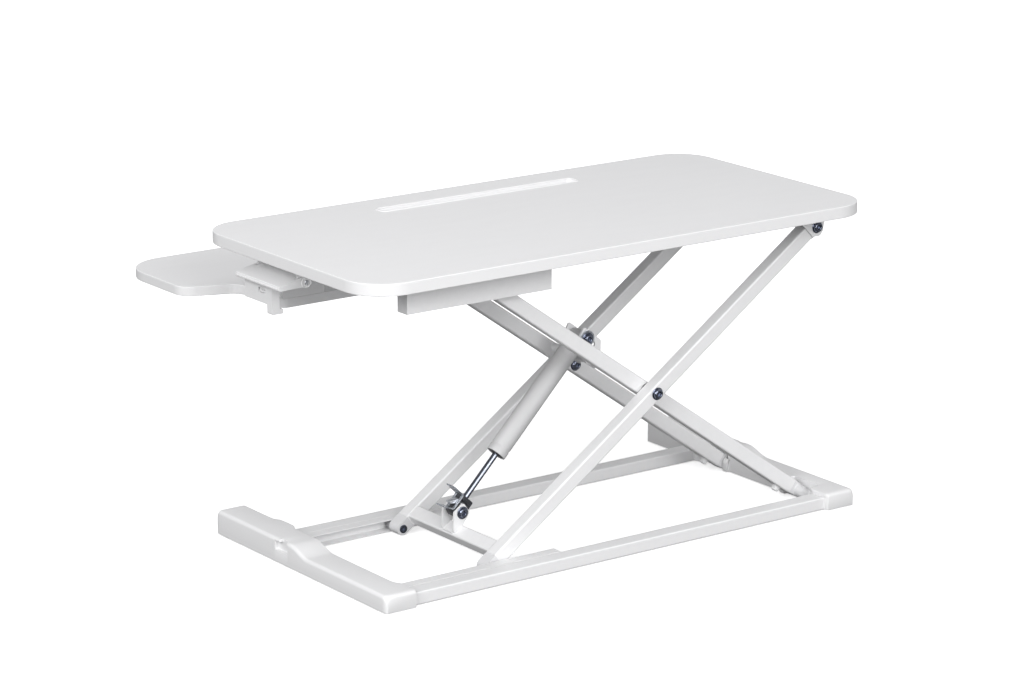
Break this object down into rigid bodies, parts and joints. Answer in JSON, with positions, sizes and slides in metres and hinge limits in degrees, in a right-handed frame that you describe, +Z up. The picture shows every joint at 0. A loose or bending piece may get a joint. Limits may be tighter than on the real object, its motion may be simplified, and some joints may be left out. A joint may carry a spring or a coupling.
{
  "type": "standing desk converter",
  "caption": "Height-adjustable worktop with a lower keyboard tray, on crossed square-tube arms with a lockable gas spring and a low open base frame.",
  "frame": {"origin": "on the desk, under the centre of the outline of the raised object, paddles included", "axes": "+Z up, -Y towards the user, +X to the right of the user, along the long side"},
  "size_m": [0.807, 0.602, 0.418],
  "materials": {
    "white_board": "satin white foil on fibreboard",
    "white_steel": "white powder coat",
    "white_moulding": "white moulded",
    "knuckle": "light grey moulded",
    "nylon": "dark nylon",
    "rubber_foot": "matt rubber",
    "zinc": "zinc plated",
    "rod_chrome": "polished",
    "cylinder_paint": "light grey enamel"
  },
  "bodies": {
    "base": {"base_end_bar_right": "white_moulding", "base_end_bar_left": "white_moulding", "base_rail_back": "white_steel", "base_rail_front": "white_steel", "roller_track_back": "white_steel", "roller_track_front": "white_steel", "lower_hinge_pins": "zinc", "rubber_feet": "rubber_foot"},
    "inner_arms": {"inner_arm_back": "white_steel", "inner_arm_front": "white_steel", "inner_arm_hinge_feet": "knuckle", "inner_arm_roller_ends": "knuckle", "centre_pivot_bolts": "zinc", "centre_pivot_washers": "nylon", "upper_roller_axles": "zinc", "inner_cross_tube": "white_steel", "inner_arm_stop_studs": "zinc", "gas_spring_upper_bracket": "white_steel"},
    "outer_arms": {"outer_arm_back": "white_steel", "outer_arm_front": "white_steel", "outer_arm_roller_ends": "knuckle", "outer_arm_hinge_ends": "knuckle", "lower_roller_axles": "zinc", "outer_cross_tube": "white_steel", "gas_spring_lower_bracket": "zinc", "gas_spring_lower_bolt": "zinc"},
    "gas_rod": {"gas_rod": "rod_chrome", "gas_piston": "rod_chrome", "gas_release_head": "zinc", "gas_release_tab_pin": "zinc"},
    "gas_cylinder": {"gas_cylinder": "cylinder_paint", "gas_rod_guide": "rod_chrome", "gas_cylinder_eye": "zinc", "gas_spring_upper_washers": "zinc", "gas_spring_upper_bolt": "zinc"},
    "release_tab": {"gas_release_tab": "zinc"},
    "worktop": {"worktop": "white_board", "worktop_screws": "zinc", "device_slot_liner": "white_moulding", "upper_rail_back": "white_steel", "upper_rail_front": "white_steel", "top_hinge_bracket_back": "white_steel", "top_hinge_bracket_front": "white_steel", "top_hinge_bolts": "zinc", "keyboard_tray": "white_board", "tray_screws": "zinc", "tray_hanger_right": "white_steel", "tray_hanger_left": "white_steel", "lever_housing_right": "white_steel", "lever_housing_left": "white_steel", "lever_pin_right": "zinc", "lever_pin_left": "zinc"},
    "lever_right": {"release_lever_right": "white_moulding", "latch_hook_right": "white_steel"},
    "lever_left": {"release_lever_left": "white_moulding", "latch_hook_left": "white_steel"},
    "lower_roller_back": {"lower_roller_back": "nylon"},
    "lower_roller_front": {"lower_roller_front": "nylon"},
    "upper_roller_back": {"upper_roller_back": "nylon"},
    "upper_roller_front": {"upper_roller_front": "nylon"}
  },
  "joints": [
    {"name": "lift", "type": "hinge", "parent": "base", "child": "inner_arms", "pos_m": [-0.34242, 0.1407, 0.0095], "axis": [0, 1, 0], "range_deg": [0, 29.74]},
    {"name": "scissor", "type": "hinge", "parent": "inner_arms", "child": "outer_arms", "pos_m": [-0.0783, 0.1407, 0.19526], "axis": [0, 1, 0], "range_deg": [-59.51, 0]},
    {"name": "top_hinge", "type": "hinge", "parent": "outer_arms", "child": "worktop", "pos_m": [-0.34242, 0.1407, 0.38102], "axis": [0, 1, 0], "range_deg": [0, 29.75]},
    {"name": "gas_lower_pivot", "type": "hinge", "parent": "outer_arms", "child": "gas_rod", "pos_m": [0.16371, 0.1407, 0.05439], "axis": [0, 1, 0], "range_deg": [-7.1, 0]},
    {"name": "gas_stroke", "type": "slide", "parent": "gas_rod", "child": "gas_cylinder", "axis": [0.6982, 0, -0.7159], "range_m": [0, 0.06902]},
    {"name": "release_tab", "type": "hinge", "parent": "gas_rod", "child": "release_tab", "pos_m": [0.16073, 0.1407, 0.06461], "axis": [0, 1, 0], "range_deg": [0, 8], "stiffness_Nm_per_rad": 0.05, "springref_deg": -11.46},
    {"name": "lever_right", "type": "hinge", "parent": "worktop", "child": "lever_right", "pos_m": [0.364, 0.051, 0.3795], "axis": [0, -1, 0], "range_deg": [0, 14], "stiffness_Nm_per_rad": 0.4, "springref_deg": -20.05},
    {"name": "lever_left", "type": "hinge", "parent": "worktop", "child": "lever_left", "pos_m": [-0.364, 0.051, 0.3795], "axis": [0, 1, 0], "range_deg": [0, 14], "stiffness_Nm_per_rad": 0.4, "springref_deg": -20.05},
    {"name": "lower_roller_back", "type": "hinge", "parent": "outer_arms", "child": "lower_roller_back", "pos_m": [0.18582, 0.2584, 0.0095], "axis": [0, 1, 0], "continuous": true},
    {"name": "upper_roller_back", "type": "hinge", "parent": "inner_arms", "child": "upper_roller_back", "pos_m": [0.18582, 0.2387, 0.38102], "axis": [0, 1, 0], "continuous": true},
    {"name": "lower_roller_front", "type": "hinge", "parent": "outer_arms", "child": "lower_roller_front", "pos_m": [0.18582, 0.023, 0.0095], "axis": [0, 1, 0], "continuous": true},
    {"name": "upper_roller_front", "type": "hinge", "parent": "inner_arms", "child": "upper_roller_front", "pos_m": [0.18582, 0.0427, 0.38102], "axis": [0, 1, 0], "continuous": true}
  ],
  "couplings": [
    {"joint": "scissor", "follows": "lift", "ratio": -2},
    {"joint": "top_hinge", "follows": "lift", "ratio": 1},
    {"joint": "gas_lower_pivot", "follows": "lift", "ratio": -0.23862},
    {"joint": "gas_stroke", "follows": "lift", "m_per_rad": 0.13276}
  ]
}
